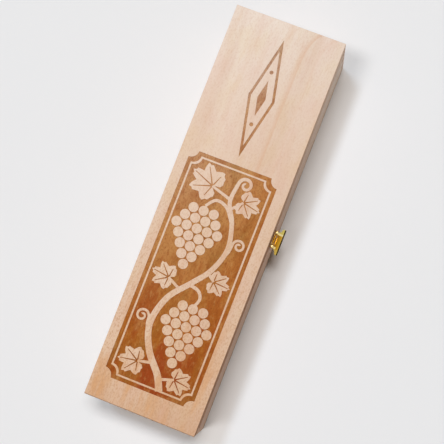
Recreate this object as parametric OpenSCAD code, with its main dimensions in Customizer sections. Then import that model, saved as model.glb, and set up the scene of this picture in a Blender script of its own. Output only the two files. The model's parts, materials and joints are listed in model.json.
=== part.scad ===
// Hinged wooden box for one wine bottle.
// X runs along the box towards the neck end, the clasp is on the -Y side and the hinges on +Y.
// The origin is the centre of the underside.

/* [Box] */
// Outside length of the box
box_length = 350; // [320:1:420]
// Outside width of the box
box_width = 98; // [92:1:120]
// Outside height of the closed box
box_height = 90; // [80:1:120]
// Height of the lid, from its lower rim to its top face
lid_height = 27.5; // [22:0.5:34]
// Gap between the rims of the closed lid and the body
seam_gap = 0.3; // [0.2:0.05:0.5]
// Radius of the four upright corners
corner_radius = 0.5; // [0.3:0.1:2.5]
// Chamfer round the top face and the underside
edge_break = 0.3; // [0.2:0.1:1.2]

/* [Boards] */
// Thickness of the side and end boards
board_thickness = 6; // [5:0.5:8]
// Thickness of the plywood bottom and top panels
panel_thickness = 4; // [3:0.5:6]
// Finger rows in each corner of the body
body_fingers = 5; // [3:1:8]
// Finger rows in each corner of the lid
lid_fingers = 2; // [2:1:4]

/* [Neck rest] */
// Distance from the neck end's inner face to the middle of the rest
rest_from_end = 72; // [40:1:110]
// Thickness of the rest
rest_thickness = 6; // [4:0.5:10]
// Height of the bottle's axis over the bottom panel
bottle_axis_height = 38; // [34:0.5:42]
// Radius of the rest's notch
notch_radius = 16.5; // [14:0.5:20]
// Depth of the grooves that hold the rest in the side boards
groove_depth = 2; // [1:0.25:2.5]
// Clearance of the rest in its grooves
groove_clearance = 0.15; // [0.05:0.05:0.3]

/* [Hinges] */
// Length of a hinge along its pin
hinge_length = 26; // [20:1:40]
// Distance from the box's middle to the middle of each hinge
hinge_offset = 115; // [80:1:135]
// Height of a hinge leaf, from the pin's axis to its free edge
hinge_leaf_height = 11; // [9:0.5:14]
// Thickness of a hinge leaf
hinge_sheet = 0.8; // [0.6:0.05:1.1]
// Radius of the hinge pin
hinge_pin_radius = 0.9; // [0.8:0.05:1.3]
// Length of the lid leaf's middle knuckle
hinge_middle_knuckle = 9; // [6:0.5:12]
// Distance between the two nails of a hinge leaf
hinge_nail_spacing = 16; // [12:1:18]

/* [Clasp] */
// Place of the clasp along the box, from its middle
clasp_x = 2; // [-60:1:60]
// Thickness of the clasp's sheet
clasp_sheet = 0.7; // [0.5:0.05:0.9]
// Radius of the clasp's pin
clasp_pin_radius = 0.55; // [0.5:0.05:0.8]
// Width of the clasp's plates, and of the hasp at its knuckles
clasp_width = 14; // [13:0.5:17]
// Width of one hasp knuckle
hasp_knuckle_width = 1.7; // [1.4:0.1:2]
// Width of one lid plate knuckle
plate_knuckle_width = 1.4; // [1.2:0.1:1.8]
// Height of the lid plate, from the pin's axis to its upper edge
clasp_plate_height = 10; // [9:0.5:14]
// Distance from the pin's axis down to the start of the duckbill's curve
hasp_drop = 6; // [5:0.25:8]
// Inner radius of the duckbill's hollow curve
bill_radius = 6.4; // [5:0.2:8]
// Angle of the duckbill's hollow curve
bill_angle = 68; // [60:1:75]
// Inner radius of the turned-down lip
lip_radius = 1.25; // [0.8:0.05:1.6]
// Angle of the turned-down lip
lip_angle = 54; // [30:1:60]
// Width of the duckbill's lip, over its two ears
lip_width = 23; // [21:0.5:28]
// Outward spread of each side of the hasp, from the knuckles down to the ear
hasp_flare = 1.2; // [0.5:0.1:2]
// Depth of an ear where it leaves the hasp's side
ear_depth = 3.3; // [2.6:0.1:3.8]
// Distance from the pin's axis down to the hasp's crossbar
window_drop = 8.8; // [8:0.1:9.5]
// Width of the hook's tongue
hook_width = 5; // [3.5:0.1:5.6]
// Distance from the clasp's pin down to the hook's free edge
hook_drop = 8.3; // [7.8:0.1:8.6]
// Height of the hook plate
hook_plate_height = 17; // [15:0.5:22]
// Clearance between the hook's nose and the hasp's crossbar
hook_clearance = 0.3; // [0.2:0.05:0.5]

/* [Nails] */
// Radius of a nail's shank
nail_radius = 0.6; // [0.5:0.05:0.8]
// Length of a nail under its head
nail_length = 5; // [4:0.25:5.5]
// Radius of a nail's domed head
nail_head_radius = 1.25; // [1:0.05:1.5]
// Height of a nail's domed head
nail_head_height = 0.45; // [0.3:0.05:0.6]

/* [Hidden] */
$fn = 64;
// Straight pieces along each bend of the clasp's sheet
arc_steps = 12;

// Fits
running_clearance = 0.05;
nail_clearance = 0.04;
knuckle_gap = 0.2;
leaf_gap = 0.3;
knuckle_stand_off = 0.25;
cut = 1;

// Levels of the boards and panels
half_length = box_length / 2;
half_width = box_width / 2;
lid_rim = box_height - lid_height;
body_rim = lid_rim - seam_gap;
lid_frame_top = box_height - panel_thickness;
inner_half_width = half_width - board_thickness;
inner_half_length = half_length - board_thickness;
socket_reach = 2 * (board_thickness + cut);

// Neck rest
rest_x = inner_half_length - rest_from_end;
bottle_axis_z = panel_thickness + bottle_axis_height;
groove_width = rest_thickness + 2 * groove_clearance;
rest_half_width = inner_half_width + groove_depth - groove_clearance;
notch_break = 0.8;

// Hinges
hinge_knuckle_radius = hinge_pin_radius + running_clearance + hinge_sheet;
hinge_axis_out = knuckle_stand_off + hinge_knuckle_radius;
hinge_axis_y = half_width + hinge_axis_out;
hinge_axis_z = lid_rim - seam_gap / 2;
hinge_leaf_corner = 1.5;
hinge_relief = hinge_knuckle_radius + leaf_gap;
hinge_nail_drop = (hinge_relief + hinge_leaf_height) / 2;

// Clasp
clasp_knuckle_radius = clasp_pin_radius + running_clearance + clasp_sheet;
clasp_axis_out = knuckle_stand_off + clasp_knuckle_radius;
clasp_axis_y = -half_width - clasp_axis_out;
clasp_rise = 0.4;
clasp_axis_z = lid_rim + clasp_rise + clasp_knuckle_radius;
clasp_relief = clasp_knuckle_radius + leaf_gap;
clasp_corner = 1.2;
clasp_nail_inset = 3;
clasp_nail_spacing = clasp_width - 2 * clasp_nail_inset;
window_width = clasp_width - 2 * (hasp_knuckle_width + knuckle_gap + plate_knuckle_width);
window_corner = 0.8;
clasp_nail_lift = 0.2;
clasp_nail_rise = (clasp_relief + clasp_plate_height) / 2 + clasp_nail_lift;
pin_head_length = 0.4;
pin_head_radius = clasp_pin_radius + pin_head_length;

// Duckbill, measured out and down from the clasp pin's axis
hasp_set_in = 0.04;
hasp_outer_face = clasp_knuckle_radius - hasp_set_in;
bill_centre_out = hasp_outer_face + bill_radius;
lip_centre_radius = bill_radius + clasp_sheet + lip_radius;
lip_centre_out = bill_centre_out - lip_centre_radius * cos(bill_angle);
lip_centre_down = hasp_drop + lip_centre_radius * sin(bill_angle);
bill_reach = lip_centre_out + (lip_radius + clasp_sheet) * cos(bill_angle - lip_angle);
ear_fillet = 0.8;
ear_tip = 0.5;
ear_slant = 0.6;
ear_root_half_width = clasp_width / 2 + hasp_flare;
ear_root_out = bill_reach - ear_depth;

// Hook plate, measured down from the clasp pin's axis
hook_plate_margin = 0.6;
hook_nail_inset = 2.8;
hook_plate_top = clasp_axis_z - body_rim + hook_plate_margin;
hook_plate_bottom = hook_plate_top + hook_plate_height;
hook_nail_drop = hook_plate_bottom - hook_nail_inset;
crossbar_out = clasp_axis_out + bill_centre_out
    - sqrt(pow(bill_radius + clasp_sheet, 2) - pow(window_drop - hasp_drop, 2));
hook_reach = crossbar_out - hook_clearance;
hook_radius = 2.4;
hook_slot_length = 1.2;
hook_centre_out = hook_reach - hook_radius;
hook_root_drop = hook_drop
    - sqrt(pow(hook_radius - clasp_sheet, 2) - pow(hook_centre_out, 2));

// ---------------------------------------------------------------- Shared shapes

// Turns a flat drawing of (outwards, up) into a bar along X, with outwards on the clasp side
module front_section(length) {
    rotate([90, 0, -90])
        linear_extrude(length, center = true)
            children();
}

// Turns a flat drawing of (along X, up) into a plate from y_from to y_to
module upright_plate(y_from, y_to) {
    translate([0, y_to, 0])
        rotate([90, 0, 0])
            linear_extrude(y_to - y_from)
                children();
}

// Points along an arc, ends included
function arc(centre, radius, from_angle, to_angle) = [
    for (step = [0:arc_steps])
        let (angle = from_angle + (to_angle - from_angle) * step / arc_steps)
            centre + radius * [cos(angle), sin(angle)]
];

// Rectangle with round corners, from the lower left corner
module rounded_rectangle(size, radius) {
    translate([radius, 0])
        square([size.x - 2 * radius, size.y]);
    translate([0, radius])
        square([size.x, size.y - 2 * radius]);
    for (x = [radius, size.x - radius], y = [radius, size.y - radius])
        translate([x, y])
            circle(radius);
}

// ---------------------------------------------------------------- Wooden pieces

// The box's outline from above, between two levels
module box_outline(z_from, z_to) {
    translate([-half_length, -half_width, z_from])
        linear_extrude(z_to - z_from)
            rounded_rectangle([box_length, box_width], corner_radius);
}

// Block along X or Y whose upper or lower edges are chamfered, for one direction of a panel
module chamfered_profile(half_size, z_low, z_high, low_break, high_break) {
    polygon([
        [-half_size + low_break, z_low],
        [half_size - low_break, z_low],
        [half_size, z_low + low_break],
        [half_size, z_high - high_break],
        [half_size - high_break, z_high],
        [-half_size + high_break, z_high],
        [-half_size, z_high - high_break],
        [-half_size, z_low + low_break]
    ]);
}

// Panel over the whole outline, with its outer edges broken
module panel(z_low, z_high, low_break, high_break) {
    intersection() {
        box_outline(z_low, z_high);
        front_section(box_length + 2 * cut)
            chamfered_profile(half_width, z_low, z_high, low_break, high_break);
        upright_plate(-half_width - cut, half_width + cut)
            chamfered_profile(half_length, z_low, z_high, low_break, high_break);
    }
}

// Finger rows that belong to the side boards (parity 0) or to the end boards (parity 1)
function row_belongs_to(row, parity) = row % 2 == parity;

// Cuts at both ends of a side board, where the end boards' fingers pass
module side_board_sockets(z_low, z_high, rows, first_row) {
    pitch = (z_high - z_low) / rows;
    for (row = [0:rows - 1], side = [-1, 1])
        if (row_belongs_to(row + first_row, 1))
            translate([
                side * (half_length - board_thickness / 2 + cut / 2),
                0,
                z_low + (row + 0.5) * pitch
            ])
                cube([board_thickness + cut, socket_reach, pitch], center = true);
}

// Side board on the -Y side, with finger joints at both ends
module side_board(z_low, z_high, rows, first_row) {
    intersection() {
        box_outline(z_low, z_high);
        difference() {
            translate([-half_length, -half_width, z_low])
                cube([box_length, board_thickness, z_high - z_low]);
            translate([0, -half_width, 0])
                side_board_sockets(z_low, z_high, rows, first_row);
        }
    }
}

// End board on the +X side, with finger joints at both ends
module end_board(z_low, z_high, rows, first_row) {
    pitch = (z_high - z_low) / rows;
    intersection() {
        box_outline(z_low, z_high);
        difference() {
            translate([inner_half_length, -half_width, z_low])
                cube([board_thickness, box_width, z_high - z_low]);
            for (row = [0:rows - 1], side = [-1, 1])
                if (row_belongs_to(row + first_row, 0))
                    translate([
                        half_length,
                        side * (half_width - board_thickness / 2 + cut / 2),
                        z_low + (row + 0.5) * pitch
                    ])
                        cube([socket_reach, board_thickness + cut, pitch], center = true);
        }
    }
}

// Groove in a -Y side board for the end of the neck rest
module rest_groove() {
    translate([
        rest_x - groove_width / 2,
        -inner_half_width - groove_depth,
        panel_thickness - cut
    ])
        cube([groove_width, groove_depth + cut, body_rim - panel_thickness + 2 * cut]);
}

module body_side_board() {
    difference() {
        side_board(panel_thickness, body_rim, body_fingers, 0);
        rest_groove();
    }
}

module lid_side_board() {
    side_board(lid_rim, lid_frame_top, lid_fingers, body_fingers);
}

module bottom_panel() {
    color("burlywood")
        panel(0, panel_thickness, edge_break, 0);
}

module body_front_board() {
    color("wheat")
        difference() {
            body_side_board();
            clasp_body_nail_places()
                front_nail_hole();
        }
}

module body_back_board() {
    color("wheat")
        difference() {
            mirror([0, 1, 0])
                body_side_board();
            hinge_nail_places(-1)
                back_nail_hole();
        }
}

module body_neck_end_board() {
    color("tan")
        end_board(panel_thickness, body_rim, body_fingers, 0);
}

module body_foot_end_board() {
    color("tan")
        mirror([1, 0, 0])
            end_board(panel_thickness, body_rim, body_fingers, 0);
}

// Slat across the body with a half-round notch for the bottle's neck
module neck_rest() {
    mouth_top = notch_radius + notch_break + cut;
    mouth_bottom = notch_radius - cut;
    mouth_depth = notch_break + cut;
    color("navajowhite")
        translate([rest_x - rest_thickness / 2, 0, 0])
            rotate([90, 0, 90])
                linear_extrude(rest_thickness)
                    difference() {
                        translate([-rest_half_width, panel_thickness])
                            square([2 * rest_half_width, bottle_axis_height]);
                        translate([0, bottle_axis_z])
                            circle(notch_radius);
                        polygon([
                            [-mouth_top, bottle_axis_z + cut],
                            [-mouth_bottom, bottle_axis_z - mouth_depth],
                            [mouth_bottom, bottle_axis_z - mouth_depth],
                            [mouth_top, bottle_axis_z + cut]
                        ]);
                    }
}

module lid_top_panel() {
    color("bisque")
        panel(lid_frame_top, box_height, 0, edge_break);
}

module lid_front_board() {
    color("wheat")
        difference() {
            lid_side_board();
            clasp_lid_nail_places()
                front_nail_hole();
        }
}

module lid_back_board() {
    color("wheat")
        difference() {
            mirror([0, 1, 0])
                lid_side_board();
            hinge_nail_places(1)
                back_nail_hole();
        }
}

module lid_neck_end_board() {
    color("tan")
        end_board(lid_rim, lid_frame_top, lid_fingers, body_fingers);
}

module lid_foot_end_board() {
    color("tan")
        mirror([1, 0, 0])
            end_board(lid_rim, lid_frame_top, lid_fingers, body_fingers);
}

// ---------------------------------------------------------------- Nails

// Domed nail on the Z axis, its head's flat underside at zero and its tip downwards
module nail() {
    dome_radius = (pow(nail_head_radius, 2) + pow(nail_head_height, 2)) / (2 * nail_head_height);
    tip_length = 2 * nail_radius;
    rotate_extrude() {
        intersection() {
            translate([0, nail_head_height - dome_radius])
                circle(dome_radius);
            square([nail_head_radius, nail_head_height]);
        }
        polygon([
            [0, 0],
            [nail_radius, 0],
            [nail_radius, tip_length - nail_length],
            [0, -nail_length]
        ]);
    }
}

// Hole for a nail, from above its head's seat to just past its tip
module nail_hole() {
    translate([0, 0, -nail_length - nail_clearance])
        cylinder(h = nail_length + nail_clearance + cut, r = nail_radius + nail_clearance);
}

module front_nail() {
    rotate([90, 0, 0])
        nail();
}

module front_nail_hole() {
    rotate([90, 0, 0])
        nail_hole();
}

module back_nail() {
    rotate([-90, 0, 0])
        nail();
}

module back_nail_hole() {
    rotate([-90, 0, 0])
        nail_hole();
}

// Seats of the hinge nails on the outer face of the leaves, below (-1) or above (1) the pins
module hinge_nail_places(side) {
    for (hinge = [-1, 1], place = [-1, 1])
        translate([
            hinge * hinge_offset + place * hinge_nail_spacing / 2,
            half_width + hinge_sheet,
            hinge_axis_z + side * hinge_nail_drop
        ])
            children();
}

module clasp_lid_nail_places() {
    for (place = [-1, 1])
        translate([
            clasp_x + place * clasp_nail_spacing / 2,
            -half_width - clasp_sheet,
            clasp_axis_z + clasp_nail_rise
        ])
            children();
}

module clasp_body_nail_places() {
    for (place = [-1, 1])
        translate([
            clasp_x + place * clasp_nail_spacing / 2,
            -half_width - clasp_sheet,
            clasp_axis_z - hook_nail_drop
        ])
            children();
}

module hinge_body_nails() {
    color("goldenrod")
        hinge_nail_places(-1)
            back_nail();
}

module hinge_lid_nails() {
    color("goldenrod")
        hinge_nail_places(1)
            back_nail();
}

module clasp_lid_nails() {
    color("goldenrod")
        clasp_lid_nail_places()
            front_nail();
}

module clasp_body_nails() {
    color("goldenrod")
        clasp_body_nail_places()
            front_nail();
}

// ---------------------------------------------------------------- Hinges

// Tube of a knuckle round the X axis
module knuckle(length, outer, pin) {
    rotate([0, 90, 0])
        difference() {
            cylinder(h = length, r = outer, center = true);
            cylinder(h = length + 2 * cut, r = pin + running_clearance, center = true);
        }
}

// Hole through the bent sheet where the other piece's knuckle turns
module hinge_bore() {
    rotate([0, 90, 0])
        cylinder(h = hinge_length + 2 * cut, r = hinge_pin_radius + running_clearance, center = true);
}

// Leaf's sheet above the pin's axis, with its free corners rounded and its nail holes not yet cut
module hinge_leaf_sheet() {
    translate([-hinge_length / 2, 0])
        difference() {
            rounded_rectangle([hinge_length, hinge_leaf_height], hinge_leaf_corner);
            translate([-cut, -cut])
                square([hinge_length + 2 * cut, hinge_relief + cut]);
        }
}

// Lid leaf about its pin's axis: one middle knuckle and the sheet above it
module lid_leaf() {
    upright_plate(-hinge_axis_out, hinge_sheet - hinge_axis_out) {
        hinge_leaf_sheet();
        translate([-hinge_middle_knuckle / 2, 0])
            square([hinge_middle_knuckle, hinge_relief]);
    }
    knuckle(hinge_middle_knuckle, hinge_knuckle_radius, hinge_pin_radius);
}

// Body leaf about its pin's axis: two outer knuckles and the sheet below them
module body_leaf() {
    outer_knuckle = (hinge_length - hinge_middle_knuckle) / 2 - knuckle_gap;
    mirror([0, 0, 1])
        upright_plate(-hinge_axis_out, hinge_sheet - hinge_axis_out) {
            hinge_leaf_sheet();
            for (side = [-1, 1])
                translate([side * (hinge_length - outer_knuckle) / 2 - outer_knuckle / 2, 0])
                    square([outer_knuckle, hinge_relief]);
        }
    for (side = [-1, 1])
        translate([side * (hinge_length - outer_knuckle) / 2, 0, 0])
            knuckle(outer_knuckle, hinge_knuckle_radius, hinge_pin_radius);
}

// Puts a hinge piece on the first (-1) or the second (1) hinge's axis
module on_hinge_axis(hinge) {
    translate([hinge * hinge_offset, hinge_axis_y, hinge_axis_z])
        children();
}

module hinge_body_leaf(hinge) {
    color("gold")
        difference() {
            on_hinge_axis(hinge)
                body_leaf();
            on_hinge_axis(hinge)
                hinge_bore();
            hinge_nail_places(-1)
                back_nail_hole();
        }
}

module hinge_lid_leaf(hinge) {
    color("khaki")
        difference() {
            on_hinge_axis(hinge)
                lid_leaf();
            on_hinge_axis(hinge)
                hinge_bore();
            hinge_nail_places(1)
                back_nail_hole();
        }
}

module hinge_pin(hinge) {
    color("darkgoldenrod")
        on_hinge_axis(hinge)
            rotate([0, 90, 0])
                cylinder(h = hinge_length, r = hinge_pin_radius, center = true);
}

// ---------------------------------------------------------------- Clasp

// Puts a clasp piece on the axis of the clasp's pin
module on_clasp_axis() {
    translate([clasp_x, clasp_axis_y, clasp_axis_z])
        children();
}

// Lid plate: two knuckles beside the window, and the sheet above them
module clasp_lid_plate() {
    knuckle_x = (window_width + plate_knuckle_width) / 2;
    color("gold")
        difference() {
            on_clasp_axis() {
                upright_plate(clasp_axis_out - clasp_sheet, clasp_axis_out) {
                    translate([-clasp_width / 2, clasp_relief])
                        difference() {
                            translate([0, -clasp_corner])
                                rounded_rectangle(
                                    [clasp_width, clasp_plate_height - clasp_relief + clasp_corner],
                                    clasp_corner
                                );
                            translate([-cut, -2 * clasp_corner])
                                square([clasp_width + 2 * cut, 2 * clasp_corner]);
                        }
                    for (side = [-1, 1])
                        translate([side * knuckle_x - plate_knuckle_width / 2, 0])
                            square([plate_knuckle_width, clasp_relief]);
                }
                for (side = [-1, 1])
                    translate([side * knuckle_x, 0, 0])
                        knuckle(plate_knuckle_width, clasp_knuckle_radius, clasp_pin_radius);
            }
            on_clasp_axis()
                clasp_bore();
            clasp_lid_nail_places()
                front_nail_hole();
        }
}

module clasp_bore() {
    rotate([0, 90, 0])
        cylinder(h = clasp_width + 2 * cut, r = clasp_pin_radius + running_clearance, center = true);
}

// Side view of the hasp's sheet below its pin, outwards to the right
module hasp_section() {
    bill_centre = [bill_centre_out, -hasp_drop];
    lip_centre = [lip_centre_out, -lip_centre_down];
    lip_end = bill_angle - lip_angle;
    polygon(concat(
        [[hasp_outer_face, 0]],
        arc(bill_centre, bill_radius, 180, 180 + bill_angle),
        arc(lip_centre, lip_radius + clasp_sheet, bill_angle, lip_end),
        arc(lip_centre, lip_radius, lip_end, bill_angle),
        arc(bill_centre, bill_radius + clasp_sheet, 180 + bill_angle, 180),
        [[hasp_outer_face - clasp_sheet, 0]]
    ));
}

// Outline of half the hasp from above: the knuckles' width, a slight flare, and the lip's ear
module hasp_half_outline() {
    inner_edge = -clasp_knuckle_radius - cut;
    outer_edge = bill_reach + cut;
    tip_half_width = lip_width / 2 - ear_tip;
    tip_out = ear_root_out + ear_slant + ear_tip;
    polygon(concat(
        [[0, inner_edge], [clasp_width / 2, inner_edge], [clasp_width / 2, clasp_knuckle_radius]],
        arc([ear_root_half_width + ear_fillet, ear_root_out - ear_fillet], ear_fillet, 180, 90),
        arc([tip_half_width, tip_out], ear_tip, 270, 360),
        [[lip_width / 2, outer_edge], [0, outer_edge]]
    ));
}

module hasp_outline() {
    hasp_half_outline();
    mirror([1, 0])
        hasp_half_outline();
}

// Opening between the hasp's arms, from above the pin down to the crossbar
module hasp_window() {
    translate([-window_width / 2 - plate_knuckle_width - knuckle_gap, -clasp_relief])
        square([window_width + 2 * (plate_knuckle_width + knuckle_gap), 2 * clasp_relief]);
    translate([-window_width / 2, -window_drop])
        rounded_rectangle([window_width, window_drop], window_corner);
}

// Sheet of the hasp: its side view and its outline from above, less the window
module hasp_sheet() {
    difference() {
        intersection() {
            front_section(lip_width + cut)
                hasp_section();
            translate([0, 0, -lip_centre_down - cut])
                linear_extrude(lip_centre_down + 2 * cut)
                    mirror([0, 1])
                        hasp_outline();
        }
        upright_plate(-bill_reach - cut, clasp_relief)
            hasp_window();
    }
}

module clasp_hasp() {
    color("gold")
        on_clasp_axis()
            difference() {
                union() {
                    hasp_sheet();
                    for (side = [-1, 1])
                        translate([side * (clasp_width - hasp_knuckle_width) / 2, 0, 0])
                            knuckle(hasp_knuckle_width, clasp_knuckle_radius, clasp_pin_radius);
                }
                clasp_bore();
            }
}

// Pin with a peened head at each end
module clasp_pin() {
    color("peru")
        on_clasp_axis()
            rotate([0, 90, 0]) {
                cylinder(h = clasp_width + 2 * knuckle_gap, r = clasp_pin_radius, center = true);
                for (side = [-1, 1])
                    translate([0, 0, side * (clasp_width / 2 + knuckle_gap + pin_head_length / 2)])
                        cylinder(h = pin_head_length, r = pin_head_radius, center = true);
            }
}

// Side view of the hook's tongue, from its root in the plate down to its free edge
module hook_section() {
    centre = [hook_centre_out, -hook_drop];
    inner_radius = hook_radius - clasp_sheet;
    polygon(concat(
        arc(centre, hook_radius, 0, acos(-hook_centre_out / hook_radius)),
        arc(centre, inner_radius, acos(-hook_centre_out / inner_radius), 0)
    ));
}

// Hook plate on the body: a flat sheet with a tongue pressed out and down through it
module clasp_hook_plate() {
    slot_bottom = hook_drop + hook_slot_length;
    color("gold")
        difference() {
            translate([clasp_x, -half_width, clasp_axis_z]) {
                difference() {
                    upright_plate(-clasp_sheet, 0)
                        translate([-clasp_width / 2, -hook_plate_bottom])
                            rounded_rectangle([clasp_width, hook_plate_height], clasp_corner);
                    upright_plate(-clasp_sheet - cut, cut)
                        translate([-hook_width / 2, -slot_bottom])
                            square([hook_width, slot_bottom - hook_root_drop]);
                }
                front_section(hook_width)
                    hook_section();
            }
            clasp_body_nail_places()
                front_nail_hole();
        }
}

// ---------------------------------------------------------------- Assembly

bottom_panel();
body_front_board();
body_back_board();
body_foot_end_board();
body_neck_end_board();
neck_rest();
lid_top_panel();
lid_front_board();
lid_back_board();
lid_foot_end_board();
lid_neck_end_board();
hinge_body_leaf(-1);  // hinge_body_leaf_1
hinge_body_leaf(1);  // hinge_body_leaf_2
hinge_lid_leaf(-1);  // hinge_lid_leaf_1
hinge_lid_leaf(1);  // hinge_lid_leaf_2
hinge_pin(-1);  // hinge_pin_1
hinge_pin(1);  // hinge_pin_2
hinge_body_nails();
hinge_lid_nails();
clasp_lid_plate();
clasp_hasp();
clasp_pin();
clasp_hook_plate();
clasp_lid_nails();
clasp_body_nails();
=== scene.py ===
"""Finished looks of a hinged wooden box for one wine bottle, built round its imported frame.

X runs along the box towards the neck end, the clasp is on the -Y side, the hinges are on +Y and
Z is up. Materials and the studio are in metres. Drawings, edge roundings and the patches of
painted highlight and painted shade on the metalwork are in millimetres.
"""

import json
import logging
import math
from abc import ABC, abstractmethod
from collections.abc import Callable, Iterator, Sequence
from contextlib import contextmanager
from dataclasses import dataclass, replace
from enum import Enum

import bpy
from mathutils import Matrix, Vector

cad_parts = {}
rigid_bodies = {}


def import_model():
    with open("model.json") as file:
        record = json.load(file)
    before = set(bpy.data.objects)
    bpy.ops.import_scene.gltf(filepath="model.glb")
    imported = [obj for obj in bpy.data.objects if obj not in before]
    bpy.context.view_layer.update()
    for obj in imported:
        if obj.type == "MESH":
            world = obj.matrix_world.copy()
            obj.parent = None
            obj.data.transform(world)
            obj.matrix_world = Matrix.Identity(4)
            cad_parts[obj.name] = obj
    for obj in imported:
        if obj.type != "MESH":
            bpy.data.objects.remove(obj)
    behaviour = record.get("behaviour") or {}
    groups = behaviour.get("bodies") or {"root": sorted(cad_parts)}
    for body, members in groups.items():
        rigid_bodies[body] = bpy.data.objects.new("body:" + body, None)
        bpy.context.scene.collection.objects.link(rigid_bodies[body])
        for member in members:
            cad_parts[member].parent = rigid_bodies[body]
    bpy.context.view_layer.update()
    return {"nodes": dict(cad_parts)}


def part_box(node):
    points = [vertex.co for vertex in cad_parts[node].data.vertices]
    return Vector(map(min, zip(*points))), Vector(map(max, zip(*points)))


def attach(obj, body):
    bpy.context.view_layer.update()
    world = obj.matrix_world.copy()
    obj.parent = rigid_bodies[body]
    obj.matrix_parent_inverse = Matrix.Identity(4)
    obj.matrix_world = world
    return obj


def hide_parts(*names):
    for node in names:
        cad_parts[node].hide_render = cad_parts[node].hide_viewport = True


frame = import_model()

LOG = logging.getLogger("wine_box")
MM = 0.001

LID_LOW, LID_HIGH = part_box("lid_top_panel")
FOOT_END, NECK_END = LID_LOW.x, LID_HIGH.x
FRONT, BACK = LID_LOW.y, LID_HIGH.y
CLASP_MIDDLE = sum(corner.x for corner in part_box("clasp_hasp")) / 2
PLATE_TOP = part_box("clasp_lid_plate")[1].z

Point = tuple[float, float]
Outline = list[Point]
Shade = tuple[float, float, float, float]
Tones = tuple[tuple[float, Shade], ...]
Socket = bpy.types.NodeSocket


class Axis(Enum):
    """Direction in which a piece's fibres run."""

    ALONG = "along the box"
    ACROSS = "across the box"


# ---------------------------------------------------------------- colours and node graphs


def shade(red: int, green: int, blue: int) -> Shade:
    """Turns a display colour into a linear one.

    Args:
        red: Red, 0 to 255.
        green: Green, 0 to 255.
        blue: Blue, 0 to 255.

    Returns:
        The linear colour with full alpha.
    """
    channels = (c / 255 for c in (red, green, blue))
    linear = [c / 12.92 if c <= 0.04045 else ((c + 0.055) / 1.055) ** 2.4 for c in channels]
    return (linear[0], linear[1], linear[2], 1.0)


class Tree:
    """A node tree, with short ways to add and join its nodes."""

    def __init__(self, tree: bpy.types.NodeTree) -> None:
        """Takes the node tree of a material or of the world, and empties it."""
        self.nodes, self.links = tree.nodes, tree.links
        self.nodes.clear()

    def put(self, socket: Socket, value: object) -> None:
        """Joins another node's output to an input socket, or writes a value into it.

        Args:
            socket: The input socket.
            value: The output to join to it, or the value to write.
        """
        if isinstance(value, Socket):
            self.links.new(value, socket)
        else:
            socket.default_value = value

    def node(self, kind: str, inputs: dict[int | str, object], **settings: object) -> bpy.types.Node:
        """Adds a node.

        Args:
            kind: Its type, without ShaderNode.
            inputs: What goes into its sockets, by index or name: a socket or a value.
            **settings: Its properties.

        Returns:
            The node.
        """
        made = self.nodes.new("ShaderNode" + kind)
        for key, value in settings.items():
            setattr(made, key, value)
        for key, value in inputs.items():
            self.put(made.inputs[key], value)
        return made

    def calc(self, operation: str, *values: object) -> Socket:
        """Returns the socket of a Math node on one to three values."""
        return self.node("Math", dict(enumerate(values)), operation=operation).outputs[0]


@dataclass(frozen=True)
class Cloud:
    """A noise drawn out along the grain: its waves per metre each way, and its seed."""

    along: float
    across: float
    seed: float
    detail: float = 2.0
    roughness: float = 0.5


@dataclass(frozen=True)
class Growth:
    """A value that changes along the box, from one place to another, and is level beyond them."""

    first_place: float
    last_place: float
    first: float
    last: float


@dataclass(frozen=True)
class Stain:
    """A tone that shows where a cloud goes from start to full, up to an amount that may grow."""

    tone: Shade
    cloud: Cloud
    start: float
    full: float
    amount: float = 1.0
    mode: str = "MIX"
    growth: Growth | None = None


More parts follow.
